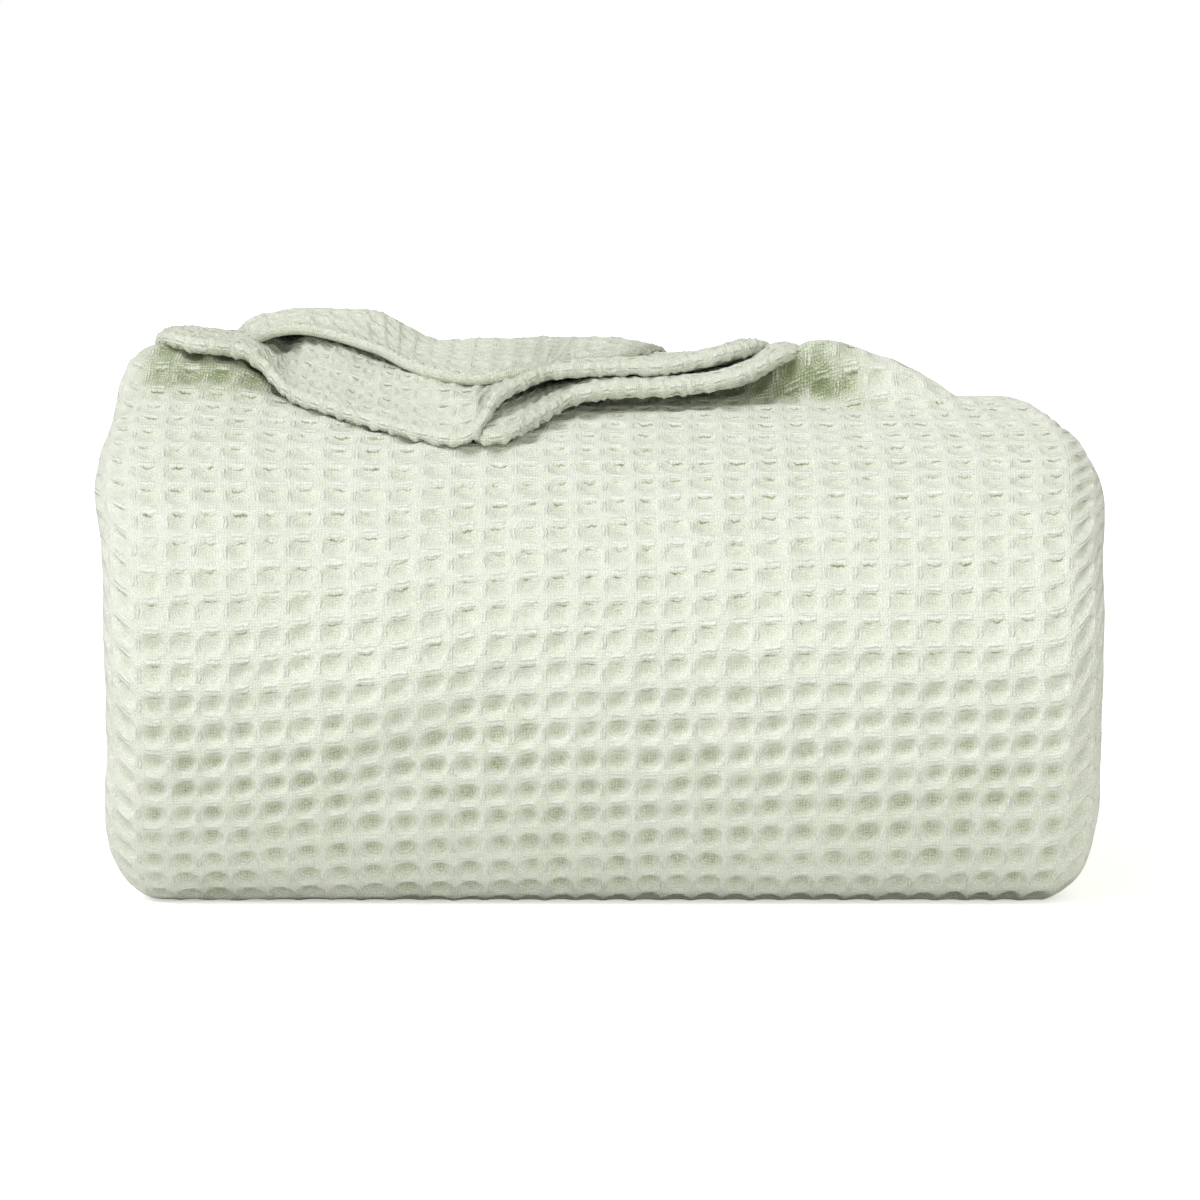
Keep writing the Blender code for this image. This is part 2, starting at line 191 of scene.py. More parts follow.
HEM = (
    (-142, 166, 18.5),
    (-138, 160, 22.0),
    (-131, 155, 26.0),
    (-121, 152, 28.4),
    (-109, 148, 27.8),
    (-96, 140, 25.8),
    (-87, 132, 24.2),
    (-77, 119, 21.8),
    (-65, 107, 20.8),
    (-50, 100, 21.0),
    (-38, 102, 21.8),
    (-29, 108, 21.8),
    (-22, 116, 22.0),
    (-14, 125, 22.4),
    (-2, 131, 22.2),
    (9, 138, 21.8),
    (15, 147, 21.0),
    (17, 160, 20.4),
)
CALM_START = 178.0  # from here back the outer wrap's curled ends open out
TURN_BACK = 262.0  # behind the front: where the cloth turns up into the flap
CORD_BACK = 222.0  # the pleat between the two cords
HEM_BACK = 248.0  # the last turn, before the hem

# %% [markdown]
# ## The forms on top
#
# A soft block is never level. Where the flap was tossed on it, the top stands
# up in a wave at the right, with a hollow open under the flap, and in a
# rounded corner at the left, where the lip starts. Each form is a height
# across the block times a share from front to back, so a few places set it.

# %% The wave, the corner and the arches
WAVE_ACROSS = (
    (-40, 0),
    (-15, 1.5),
    (9, 4),
    (36, 5),
    (53, 7),
    (61, 9),
    (68, 13.5),
    (75, 18.5),
    (82, 23.4),
    (89, 24.4),
    (96, 23.2),
    (104, 21.0),
    (112, 18.6),
    (125, 14.6),
    (137, 8.4),
    (147, 1.6),
    (155, 0),
)
WAVE_BACK = (
    (116, 0),
    (124, 0.03),
    (131, 0.16),
    (139, 0.52),
    (147, 0.87),
    (155, 1.0),
    (165, 0.93),
    (177, 0.6),
    (191, 0.2),
    (205, 0),
)
# the hollow is deeper under its left part, where the wave leans to the front
# over it by this share of its height
WAVE_SHIFT = ((20, 16), (60, 18), (86, 14), (104, 4), (124, -3), (150, -6))
WAVE_LEAN = ((20, 0.8), (60, 1.15), (86, 1.05), (104, 0.55), (124, 0.15), (150, 0.1))
CORNER_ACROSS = (
    (-202, 14),
    (-196, 16.5),
    (-188, 18),
    (-178, 18),
    (-169, 16.8),
    (-158, 15.2),
    (-149, 14.2),
    (-142, 12.8),
    (-137, 10.4),
    (-132, 6.8),
    (-127, 2.8),
    (-121, 0.5),
    (-114, 0),
)
CORNER_BACK = (
    (104, 0),
    (118, 0.04),
    (130, 0.18),
    (140, 0.42),
    (149, 0.74),
    (157, 0.95),
    (165, 1.0),
    (176, 0.82),
    (190, 0.36),
    (206, 0),
)
CORNER_LEAN = ((-197, 0), (-182, 0.1), (-168, 0.55), (-135, 0.6), (-118, 0.2))

# the last layer arches up behind its hem: place across, place
# behind the front, how far it reaches each way, and its height
ARCHES = ((-108, 182, 44, 52, 14.0), (-42, 190, 48, 50, 2.6))
for name, table in (("wave", WAVE_ACROSS), ("corner", CORNER_ACROSS), ("arches", ARCHES)):
    print(name, "height, mm:", max(row[-1] for row in table))

# %% [markdown]
# ## Small helpers
#
# A table of a few places becomes a smooth curve with the same rule
# everywhere: between two rows, a cubic that leaves and arrives along the
# line between their neighbours.

# %% Curves through a table
def mix(a, b, share):
    return a + (b - a) * share


def ease(value):
    value = np.clip(value, 0.0, 1.0)
    return value * value * (3 - 2 * value)


def through(table, place, column):
    """Smooth curve through one column of a table whose first column rises."""
    table = np.asarray(table, float)
    x, y = table[:, 0], table[:, column]
    h = np.diff(x)
    slope = np.empty(len(x))
    slope[0], slope[-1] = (y[1] - y[0]) / h[0], (y[-1] - y[-2]) / h[-1]
    slope[1:-1] = (y[2:] - y[:-2]) / (x[2:] - x[:-2])
    place = np.asarray(place, float)
    i = np.clip(np.searchsorted(x, place) - 1, 0, len(x) - 2)
    t = np.clip((place - x[i]) / h[i], 0.0, 1.0)
    return (
        (1 + 2 * t) * (1 - t) ** 2 * y[i]
        + t * (1 - t) ** 2 * h[i] * slope[i]
        + t * t * (3 - 2 * t) * y[i + 1]
        + t * t * (t - 1) * h[i] * slope[i + 1]
    )


def ripple(a, b, size, seed):
    """Soft random waves, about 0 and up to 1, with bumps about size across."""
    total = np.zeros(np.broadcast(a, b).shape)
    for i in range(7):
        turn = 2.4 * i + 1.7 * seed
        length = size * (0.7 + 0.13 * i)
        wave = (a * math.cos(turn) + b * math.sin(turn)) / length
        total = total + np.sin(2 * math.pi * wave + 3.1 * i * i + 5.3 * seed)
    return total / 4.2


# %% [markdown]
# ## The section
#
# Each wrap runs along the floor, around the front and back over the top. Two
# Bezier quarters make its front. The lower one is short and tight, the upper
# one long and slack, which gives the slumped shape of soft cloth.

# %% One wrap, as points in its section
def quarter(start, corner, end, full_start, full_end, t):
    a = [mix(p, c, full_start) for p, c in zip(start, corner)]
    b = [mix(p, c, full_end) for p, c in zip(end, corner)]
    u = 1 - t
    return np.stack(
        [
            u**3 * p + 3 * u * u * t * m + 3 * u * t * t * n + t**3 * q
            for p, m, n, q in zip(start, a, b, end)
        ],
        axis=-1,
    )


def wrap_sizes(k):
    inner = k / (WRAPS - 1)
    low = SHEET / 2 + k * LAYER_STEP
    high = HUMP - SHEET / 2 - k * LAYER_STEP
    front = FRONT + SHEET / 2 + k * FRONT_STEP
    middle = mix(MIDDLE, HUMP / 2, inner)
    return low, high, front, middle, inner


def front_curves(k, steps=80):
    """The lower and the upper quarter of wrap k."""
    low, high, front, middle, inner = wrap_sizes(k)
    lower = front + mix(LOWER_REACH, CORE_TURN, inner)
    upper = front + mix(UPPER_REACH, CORE_TURN, inner)
    l_front, l_floor = (mix(f, 0.55, inner) for f in LOWER_FULLNESS)
    u_front, u_top = (mix(f, 0.55, inner) for f in UPPER_FULLNESS)
    t = np.linspace(0, 1, steps + 1)
    nose = (front, middle)
    under = quarter((lower, low), (front, low), nose, l_floor, l_front, t)
    over = quarter(nose, (front, high), (upper, high), u_front, u_top, t)
    return under, over


def lengths(points):
    """Distance along a line of points, from its first point."""
    steps = np.linalg.norm(np.diff(points, axis=0), axis=-1)
    return np.concatenate([[0.0], np.cumsum(steps)])


UNDER, OVER = front_curves(0)
RUN_STEPS = np.arange(1, 62)[:, None] * np.array([[2.0, 0.0]])
OUTER = np.concatenate([UNDER, OVER[1:], OVER[-1] + RUN_STEPS])
OUTER_Q = lengths(OUTER)
Q_NOSE = OUTER_Q[len(UNDER) - 1]
OUTER_NORMAL = np.gradient(OUTER, OUTER_Q, axis=0)
OUTER_NORMAL = np.stack([-OUTER_NORMAL[:, 1], OUTER_NORMAL[:, 0]], axis=1)
print("outer wrap, floor to nose and on to the back, mm:", round(Q_NOSE), round(OUTER_Q[-1]))


def outer_at(q):
    """Section point and outward direction of the outer wrap at a distance."""
    y, z = (np.interp(q, OUTER_Q, OUTER[:, i]) for i in (0, 1))
    ny, nz = (np.interp(q, OUTER_Q, OUTER_NORMAL[:, i]) for i in (0, 1))
    size = np.hypot(ny, nz)
    return y, z, ny / size, nz / size


def along_cloth(back):
    """Distance along the cloth of a place on top, given behind the front."""
    over = slice(len(UNDER) - 1, None)
    return np.interp(FRONT + np.asarray(back, float), OUTER[over, 0], OUTER_Q[over])


# %% [markdown]
# ## From the section to space
#
# A place across the cloth goes from -1 to 1. The ends follow the outline of
# the block, and the outer wrap curls in over its last stretch, so that the
# waffle squares narrow and turn away at both ends, as on the real fold.

# %% Placing a wrap
def rear_drop(back):
    past = np.maximum(back - REAR_START, 0.0)
    turn = REAR_SLOPE / (2 * REAR_BEND)
    bent = REAR_BEND * np.minimum(past, turn) ** 2
    return bent + REAR_SLOPE * np.maximum(past - turn, 0.0)


def crease_height(x, z):
    total = 0.0
    for across, up, long, wide, turn, height in CREASES:
        c, s = math.cos(math.radians(turn)), math.sin(math.radians(turn))
        dx, dz = x - across, z - up
        along = (dx * c + dz * s) / long
        over = (-dx * s + dz * c) / wide
        total = total + height * np.exp(-along * along - over * over)
    return total


def half_width(k, y, z, left):
    own = np.where(left, through(END_SHAPE, z, 1), through(END_SHAPE, z, 2))
    if k == 0:
        return own
    shrink = max(1 - k / WRAPS, 0.05)
    outside = np.clip(MIDDLE + (z - MIDDLE) / shrink, 0.0, HUMP)
    outer = np.where(left, through(END_SHAPE, outside, 1), through(END_SHAPE, outside, 2))
    uneven = 1.1 * np.sin(2.7 * k + 0.012 * y + np.where(left, 1.0, 3.0))
    return np.minimum(own, outer + INSET_STEP * k) - INSET + uneven


def place_wrap(k, y, z, ny, nz, s, calm=0.0):
    """Points of wrap k; a calm of 1 takes the outer wrap in to the next."""
    y, z, ny, nz, s, calm = np.broadcast_arrays(y, z, ny, nz, s, calm)
    left = s < 0
    full = HALF_WIDTH if k == 0 else HALF_WIDTH - INSET
    end = half_width(k, y, z, left)
    full = mix(full, HALF_WIDTH - INSET, calm)
    if k == 0:
        end = mix(end, half_width(1, y, z, left), calm)
    squeeze = ease((np.abs(s) - 0.3) / 0.7)
    curl = CURL_EXTRA * (1 - calm) if k == 0 else 0.0
    reach = np.abs(s) * (full + curl) - (full - end) * squeeze
    inward = 0.0
    if k == 0:
        radius = CURL_RADIUS
        zone = CURL_X * (1 - calm)
        turn = np.clip((reach - (end - zone)) / radius, 0.0, CURL_ANGLE)
        reach = np.minimum(reach, end - zone) + radius * np.sin(turn)
        inward = radius * (1 - np.cos(turn))
    x = np.where(left, -reach, reach)
    weight = max(1 - k / 5, 0.0) * np.clip(-ny * 1.5, 0.0, 1.0)
    outward = weight * crease_height(x, z) - inward
    y = y + ny * outward
    z = z + nz * outward
    share = np.clip((z - SHEET / 2) / HUMP, 0.0, 1.0)
    z = z + share * (LEFT_RISE * ease((-x - 80) / 100) - rear_drop(y - FRONT))
    return np.stack([x, y, z], axis=-1)


def arches(back, across):
    total = 0.0
    for x, y, aside, behind, height in ARCHES:
        away = np.hypot((across - x) / aside, (back - y) / behind)
        total = total + height * ease(1.5 * (1 - away))
    return total


def wave(back, across, leaning=False):
    """Height of the wave. Seen from the layers over it, it leans forward."""
    high = through(WAVE_ACROSS, across, 1)
    back = back - through(WAVE_SHIFT, across, 1)
    if leaning:
        back = back + high * through(WAVE_LEAN, across, 1)
    return high * through(WAVE_BACK, back, 1)


def corner(back, across):
    return through(CORNER_ACROSS, across, 1) * through(CORNER_BACK, back, 1)


def outer_point(q, across):
    """The outer wrap's middle, by distance along the cloth and across."""
    y, z, ny, nz = outer_at(q)
    back = y - FRONT
    calm = ease((back - CALM_START) / (TURN_BACK - 8 - CALM_START))
    return place_wrap(0, y, z, ny, nz, across / HALF_WIDTH, calm)


def unit(v):
    return v / np.maximum(np.linalg.norm(v, axis=-1, keepdims=True), 1e-12)


def flap_point(q, across, height):
    """A point straight above the outer wrap."""
    here = outer_point(q, np.clip(across, -HALF_WIDTH, HALF_WIDTH))
    return here + np.asarray(height)[..., None] * np.array([0.0, 0.0, 1.0])


def block_top(q, across):
    """The outer wrap with its wave and its corner."""
    back = outer_at(q)[0] - FRONT
    high, left = wave(back, across), corner(back, across)
    point = flap_point(q, across, high + left)
    lean = high * through(WAVE_LEAN, across, 1) + left * through(CORNER_LEAN, across, 1)
    return point - lean[..., None] * np.array([0.0, 1.0, 0.0])


# %% [markdown]
# ## The waffle
#
# A waffle weave has long floats that pull the cloth into raised ridges around
# sunk squares. On the real blanket a square repeats about every 12 mm. Between
# two rows the ridge is a broad band, between two columns it is thin. The grid
# lines of the mesh are set on the ridges, on both edges of each slope and in
# the middle of the square, so that ten columns and eight rows of them to a
# square are enough for crisp relief.

# %% One waffle square
PITCH = 12.2
ROW_RIDGE = 0.29  # share of the pitch that is ridge, between two rows
COLUMN_RIDGE = 0.09  # and between two columns, where the ridge is thin
DEEP = 2.6  # depth of a square
COLUMN_LINES = np.array([0.0, 0.055, 0.12, 0.22, 0.35, 0.5, 0.65, 0.78, 0.88, 0.945])
ROW_LINES = np.array([0.0, 0.14, 0.22, 0.34, 0.5, 0.66, 0.78, 0.86])


DEEPEST = 0.82  # below 1, a square is deepest a little above its middle
SQUARENESS = 1.1  # 1 is a round hollow, and more is a squarer one


def waffle(p, q, pitch=PITCH):
    """0 on the ridges and 1 on the floor of a square, each a little different."""
    column, row = p / pitch, q / pitch
    u = 2 * np.abs(column - np.round(column))
    part = 1 - (1 - (row - np.floor(row))) ** DEEPEST
    v = 1 - np.abs(2 * part - 1)
    x = 1 - np.clip((u - COLUMN_RIDGE) / (1 - COLUMN_RIDGE), 0, 1)
    y = 1 - np.clip((v - ROW_RIDGE) / (1 - ROW_RIDGE), 0, 1)
    chance = np.sin(12.99 * np.floor(column) + 78.23 * np.floor(row)) * 43758.5
    own = 0.86 + 0.24 * (chance - np.floor(chance))
    away = np.hypot(x**SQUARENESS, y**SQUARENESS)
    return own * (1 - np.minimum(away, 1) ** 2)


def grid_lines(first, last, pitch, places):
    """Places of the mesh's lines between two distances, both included."""
    cells = np.arange(math.floor(first / pitch), math.ceil(last / pitch) + 1)
    lines = (pitch * (cells[:, None] + places)).ravel()
    inside = lines[(lines > first + 0.4) & (lines < last - 0.4)]
    return np.concatenate([[first], inside, [last]])


print("lines of the mesh to a square:", len(COLUMN_LINES), "by", len(ROW_LINES))


# %% [markdown]
# ## From a grid to cloth
#
# Every piece of the cloth is made from one grid of points on its middle
# surface. The outer face takes the relief. The inner face is plain and four
# times as coarse, because it lies against other cloth. A rim closes the two,
# round where the cloth really ends and flat where the next piece goes on.
#
# Two things go to the material: the place in the weave, as UVs in metres, and
# `hollow`, which is how deep a point lies, plus a painted shade. The material
# turns both into painted shade, darker the deeper a point lies. The shade is
# there because the faces are closed, and so can't lose light between threads.

# %% Cloth from a grid
RIM_PUSH_SIDE = 1.2  # how fast the weave goes on over an open side, in mm
RIM_PUSH_END = 1.6  # and over the open end


def grid_faces(ids, flip=False):
    a, b = ids[:-1, :-1].ravel(), ids[:-1, 1:].ravel()
    c, d = ids[1:, 1:].ravel(), ids[1:, :-1].ravel()
    quads = np.stack([a, b, c, d], axis=1)
    return quads[:, ::-1] if flip else quads


def around(ids):
    """The border of a grid of ids, once around, without a repeat."""
    return np.concatenate([ids[0, :-1], ids[:-1, -1], ids[-1, :0:-1], ids[:0:-1, 0]])


def every(count, step):
    places = list(range(0, count - 1, step)) + [count - 1]
    return np.array(places)


def surface_normals(grid):
    along = np.gradient(grid, axis=0)
    aside = np.gradient(grid, axis=1)
    return unit(np.cross(aside, along))


def cloth(name, middle, p, q, relief, open_sides, coarse=4, thick=SHEET, n=None, shade=0.0):
    """A closed piece of cloth. open_sides names its real edges: left, right,
    bottom (first row) and top (last row). relief is a depth at every point."""
    rows, columns = middle.shape[:2]
    n = surface_normals(middle) if n is None else n
    half = np.broadcast_to(thick, (rows, columns))[..., None] / 2
    outer = middle + n * (half - relief[..., None])
    rr, cc = every(rows, coarse), every(columns, coarse)
    inner = (middle - n * half)[np.ix_(rr, cc)]
    count = rows * columns
    ids = np.arange(count).reshape(rows, columns)
    inner_ids = count + np.arange(inner.shape[0] * inner.shape[1]).reshape(inner.shape[:2])

    # the rim, three loops of points around the border
    side = np.zeros((rows, columns, 3))
    aside, along = unit(np.gradient(middle, axis=1)), unit(np.gradient(middle, axis=0))
    if "l" in open_sides:
        side[:, 0] -= aside[:, 0]
    if "r" in open_sides:
        side[:, -1] += aside[:, -1]
    if "b" in open_sides:
        side[0] -= along[0]
    if "t" in open_sides:
        side[-1] += along[-1]
    border = around(ids)
    flat = lambda grid: grid.reshape(count, -1)[border]
    loops = []
    for angle in (0.25, 0.5, 0.75):
        up = flat(half) * math.cos(math.pi * angle)
        out = flat(half) * math.sin(math.pi * angle)
        loops.append(flat(middle) + flat(n) * up + flat(side) * out)
    rim_start = count + inner_ids.size
    rim_ids = rim_start + np.arange(3 * len(border)).reshape(3, -1)

    verts = np.concatenate([outer.reshape(-1, 3), inner.reshape(-1, 3), *loops])
    quads = [grid_faces(ids), grid_faces(inner_ids, flip=True)]
    ring = [border, *rim_ids]
    for a, b in zip(ring, ring[1:]):
        quads.append(np.stack([np.roll(a, -1), a, b, np.roll(b, -1)], axis=1))
    last = rim_ids[-1]
    place = {int(v): i for i, v in enumerate(border)}
    coarse_border = around(inner_ids)
    coarse_fine = around(ids[np.ix_(rr, cc)])
    tris = []
    for i, c in enumerate(coarse_border):
        nxt = coarse_border[(i + 1) % len(coarse_border)]
        start = place[int(coarse_fine[i])]
        stop = place[int(coarse_fine[(i + 1) % len(coarse_fine)])]
        if stop <= start:
            stop += len(border)
        middle_place = (start + stop) // 2
        for j in range(start, stop):
            corner = c if j < middle_place else nxt
            tris.append((last[(j + 1) % len(border)], last[j % len(border)], corner))
        tris.append((last[middle_place % len(border)], c, nxt))
    faces = [tuple(f) for block in quads for f in block.tolist()]
    faces += [tuple(int(v) for v in f) for f in tris]

    mesh = bpy.data.meshes.new(name)
    mesh.from_pydata(((verts + SHIFT) * 0.001).tolist(), [], faces)
    mesh.validate()
    mesh.shade_smooth()
    ends = np.empty(2 * len(mesh.edges), dtype=np.int32)
    mesh.edges.foreach_get("vertices", ends)
    on_border = np.zeros(len(mesh.vertices), dtype=bool)
    on_border[border] = True
    sharp = mesh.attributes.new("sharp_edge", "BOOLEAN", "EDGE")
    sharp.data.foreach_set("value", on_border[ends.reshape(-1, 2)].all(axis=1))
    piece = bpy.data.objects.new(name, mesh)
    bpy.context.scene.collection.objects.link(piece)

    def every_point(values, push=0.0):
        """Values of the outer face, the inner face and the three rim loops.
        push is how a value goes on over an open edge, at each border point."""
        values = np.asarray(values, float)
        rim = [values.ravel()[border] + push * share for share in (0.8, 1.6, 2.4)]
        return np.concatenate([values.ravel(), values[np.ix_(rr, cc)].ravel(), *rim])

    push_p, push_q = np.zeros((rows, columns)), np.zeros((rows, columns))
    if "l" in open_sides:
        push_p[:, 0] = RIM_PUSH_SIDE * np.sign(p[:, 0] - p[:, 1])
    if "r" in open_sides:
        push_p[:, -1] = RIM_PUSH_SIDE * np.sign(p[:, -1] - p[:, -2])
    if "t" in open_sides:
        push_q[-1] = RIM_PUSH_END
    push_p, push_q = push_p.ravel()[border], push_q.ravel()[border]

    corner = np.empty(len(mesh.loops), dtype=np.int32)
    mesh.loops.foreach_get("vertex_index", corner)
    weave = np.stack([every_point(p, push_p), every_point(q, push_q)], axis=1) * 0.001
    layer = mesh.uv_layers.new(name="weave")
    layer.uv.foreach_set("vector", weave[corner].astype(np.float32).ravel())
    hollow = mesh.attributes.new("hollow", "FLOAT", "POINT")
    # painted shade: the deeper a point of the relief, the darker its colour; the inner face and
    # the rim get a middle painted shade
    depth = every_point(np.clip(relief / DEEP, 0, 1))
    depth[count:] = 0.5
    depth = depth + every_point(np.broadcast_to(shade, relief.shape))
    hollow.data.foreach_set("value", depth.astype(np.float32))
    triangles = sum(len(f) - 2 for f in faces)
    print(name, "triangles:", triangles)
    return piece


# %% [markdown]
# ## The front
#
# The outer wrap from the floor, around the front and over the top. Its rows
# of squares are laid out by the distance along the cloth, so they crowd
# together in the view where the surface turns away, as the photograph shows.

# %% The outer wrap
ARC = HALF_WIDTH + CURL_EXTRA  # half the cloth's width along its surface
Q_SPLIT = PITCH * 23  # the front piece ends on this ridge, under the flap

# the squares are pulled longer over the top and under the front: distance by
# the squares, and distance along the cloth before it is fitted to its length
STRETCH = ((0, 0), (48, 55), (57, 65), (157, 165), (189, 200), (292, 320), (402, 436))
# the rows climb to the right: across, and how far the rows are moved there
CLIMB = ((-205, -12.5), (-150, -11), (-90, -5.5), (-20, 0), (60, 3.2), (205, 8))
CLIMB_ALONG = ((0, 0.2), (30, 0.7), (60, 1), (185, 1), (250, 0.3), (300, 0))
HEM_WIDTH = 5.0  # the plain edge without squares


def hem_fade(distance, width=HEM_WIDTH):
    """0 at an edge of the cloth and 1 inside its narrow plain hem."""
    return ease(distance / width - 0.4)


def wander(p, q):
    """The weave is never quite straight: its lines stray a little."""
    dp = 0.9 * ripple(p, q, 90, 1) + 0.45 * ripple(p, q, 31, 2)
    dp = dp - 1.9 * np.sin(2 * math.pi * p / 190)
    dq = 1.1 * ripple(p, q, 110, 3) + 0.5 * ripple(p, q, 37, 4)
    return dp, dq + through(CLIMB, p, 1) * through(CLIMB_ALONG, q, 1)


def resampled(path, start, wanted):
    """The path at wanted distances along each column; start is where 0 is."""
    steps = np.linalg.norm(np.diff(path, axis=0), axis=-1)
    q = np.concatenate([np.zeros((1, path.shape[1])), np.cumsum(steps, axis=0)])
    q = q - q[start]
    places = wanted(q[0], q[-1])
    out = np.empty(places.shape + (3,))
    for j in range(path.shape[1]):
        for i in range(3):
            out[:, j, i] = np.interp(places[:, j], q[:, j], path[:, j, i])
    return out, places


p_lines = grid_lines(-ARC, ARC, PITCH, COLUMN_LINES)
q_end = float(along_cloth(TURN_BACK - 2))
q_lines = grid_lines(0.0, STRETCH[-1][0], PITCH, ROW_LINES)
split = int(np.argmin(np.abs(q_lines - Q_SPLIT)))
P, Q = np.meshgrid(p_lines, q_lines)
along = through(STRETCH, Q, 1) * q_end / STRETCH[-1][1]
inside = np.clip(np.minimum(along, q_end - along) / 12, 0, 1)
along = along + wander(P, along)[1] * inside

fine = np.linspace(0.0, q_end, 420)
fine_p, fine_q = np.meshgrid(p_lines, fine)
stray = wander(fine_p, fine_q)[0] * np.clip((ARC - np.abs(fine_p)) / 12, 0, 1)
path = block_top(fine_q, (fine_p + stray) * HALF_WIDTH / ARC)


def rows_of_the_wrap(first, last):
    """Even squares as far as the seam; the wave's extra length goes behind it."""
    seam = along[split]
    past = np.maximum(along - seam, 0.0)
    return np.minimum(along, seam) + past * (last - seam) / (q_end - seam)


middle, _ = resampled(path, 0, rows_of_the_wrap)
normals = surface_normals(middle)
print("squares across the cloth, rows of the mesh:", round(2 * ARC / PITCH), len(q_lines))

# %% [markdown]
# ## Relief and shade of the front
#
# Cloth that hangs slack under the bulge keeps deeper squares than cloth that
# is pulled over the top, and the squares lie flat towards both ends. The
# shade is painted where the cloth stands up under the flap and in the lowest
# squares, where little light gets out from between the threads.

# %% Depths
DEPTH_VARIES = 0.16  # from patch to patch
LOW_TOP, LOW_RUN = 135, 70  # mm along the cloth: slack below, pulled above
LOW_DEEPER, TOP_SHALLOWER = 0.42, 0.16
ENDS_SHALLOWER = 0.4
LOW_PUFF = 0.6  # slack cloth puffs out by this, in mm
UNEVEN = 0.4  # mm
DEEPEST_RELIEF = 2.85  # mm, less than the cloth's thickness

fade = hem_fade(ARC - np.abs(P))
deep = DEEP * (1 + DEPTH_VARIES * ripple(P, Q, 40, 5))
low = ease((LOW_TOP - along) / LOW_RUN)
deep = deep * (1 + LOW_DEEPER * low - TOP_SHALLOWER * ease((along - 215) / 60))
fade = fade * (1 - ENDS_SHALLOWER * ease((np.abs(P) - ARC + 30) / 14))
relief = deep * waffle(P, Q) * fade - LOW_PUFF * low * fade - UNEVEN * ripple(P, Q, 24, 6)
relief = np.minimum(relief, DEEPEST_RELIEF)
print("relief, least and most, mm:", round(relief.min(), 2), round(relief.max(), 2))

# %% Painted shade
SHELTER = 3.6  # the shade where the cloth stands up under the flap
LOW_SHADE = 1.3  # and in the lowest squares

back = outer_at(along)[0] - FRONT
risen = through(CORNER_BACK, back, 1) * ease((-122 - P) / 12)
sheltered = 0.85 * ease(risen / 0.5) * ease((P + 196) / 20)
risen = through(WAVE_BACK, back - through(WAVE_SHIFT, P, 1), 1) * ease((P - 12) / 30)
lighter_crest = 1 - 0.45 * ease((risen - 0.4) / 0.5)
sheltered = sheltered + ease(risen / 0.16) * lighter_crest * ease((122 - P) / 34)
sheltered = SHELTER * sheltered * (1 + 0.25 * ripple(P, Q, 9, 13))
sheltered = sheltered + LOW_SHADE * low * np.clip(relief / DEEP, 0, 1) ** 2

# %% The front and the top
for name, part in (("front", slice(0, split + 1)), ("top", slice(split, None))):
    grids = (middle[part], P[part], Q[part], relief[part])
    cloth(name, *grids, open_sides="lr", n=normals[part], shade=sheltered[part])

# %% [markdown]
# ## The flap
#
# Behind the top the cloth turns back up and comes forward in pleats. Each
# piece of the flap is followed along its length as a path: layers at a height
# over the block, joined by folds that are half circles.
#
# The layers are set by their heights alone, and not pushed apart afterwards.
# So neighbours cross a little in places where they lie close.

# %% Lines and paths of the flap
def along_line(table, s, column):
    """A column of a fold line's table, by the share of the line's length."""
    rows = np.asarray(table, float)
    place = lengths(rows) / lengths(rows)[-1] * 2 - 1
    return through(np.column_stack([place, rows]), s, column + 1)


def fold_line(table):
    def places(s):
        q = along_cloth(along_line(table, s, 1))
        return q, along_line(table, s, 0), along_line(table, s, 2)

    return places


lower_cord, lip, hem = fold_line(LOWER_CORD), fold_line(LIP), fold_line(HEM)


def turn(s):
    q = along_cloth(TURN_BACK + 2 * np.sin(3 * s))
    return q, HALF_WIDTH * s, np.zeros(len(s))


def pleat(s):
    across = mix(lower_cord(s)[1], lip(s)[1], 0.4)
    return along_cloth(CORD_BACK + 4 * np.sin(2 * s + 1)), across, np.zeros(len(s))


def last_turn(s):
    across = mix(lip(s)[1], hem(s)[1], 0.45)
    return along_cloth(HEM_BACK + 3 * np.sin(2.4 * s)), across, np.zeros(len(s))


whole_line = np.linspace(-1, 1, 200)
for name, line in (("lower cord", lower_cord), ("lip", lip), ("hem", hem)):
    print(name, "runs, mm:", round(lengths(flap_point(*line(whole_line)))[-1]))


def stacked(level, q, across):
    """Height of a layer that lies on the ones below it. At the left end the
    first two layers of the flap are missing, and the corner stands there."""
    back = outer_at(q)[0] - FRONT
    arch = arches(back, across) * np.interp(level, [2, 3, 4, 5], [0, 0.4, 0.45, 1])
    missing = ease((-across - 116) / 14) * ease((196 - back) / 34)
    layers = level - 2 * missing * np.clip(level - 2, 0, 1)
    pressed = 1 - 0.22 * ease(1.5 * (1 - np.hypot((across - 34) / 38, (back - 190) / 70)))
    return layers * GAP * pressed + wave(back, across, True) + corner(back, across) + arch


def settle(across):
    """How far from a fold line its own height gives way to the stack."""
    return 34 - 19 * np.exp(-(((across + 54) / 14) ** 2))


def layer_path(start, end, level, fold_is_last, s, above=0.0, steps=60):
    """A layer from one line to another. One of them is a fold line with its
    own height, and away from it the layer settles on the ones below."""
    share = np.linspace(0, 1, steps)[:, None]
    (q0, a0, h0), (q1, a1, h1) = start(s), end(s)
    q, across = mix(q0[None], q1[None], share), mix(a0[None], a1[None], share)
    at, own = (q1, h1) if fold_is_last else (q0, h0)
    settled = ease(np.abs(q - at[None]) / settle(across))
    height = mix(own[None] + above, stacked(level, q, across), settled)
    return flap_point(q, across, height)


def fold_path(place, level, outward, s, own_height, size=GAP, steps=25):
    """A half circle up from a layer to the next one."""
    angle = np.linspace(0, math.pi, steps)[:, None]
    out = outward * size / 2 * 1.1 * np.sin(angle)
    up = (1 - np.cos(angle)) / 2
    q, across, height = place(s)
    across = np.broadcast_to(across[None], (steps, len(s)))
    if own_height:
        return flap_point(q[None] + out, across, height[None] + size * up)
    return flap_point(q[None] + out, across, stacked(level + up, q[None], across))


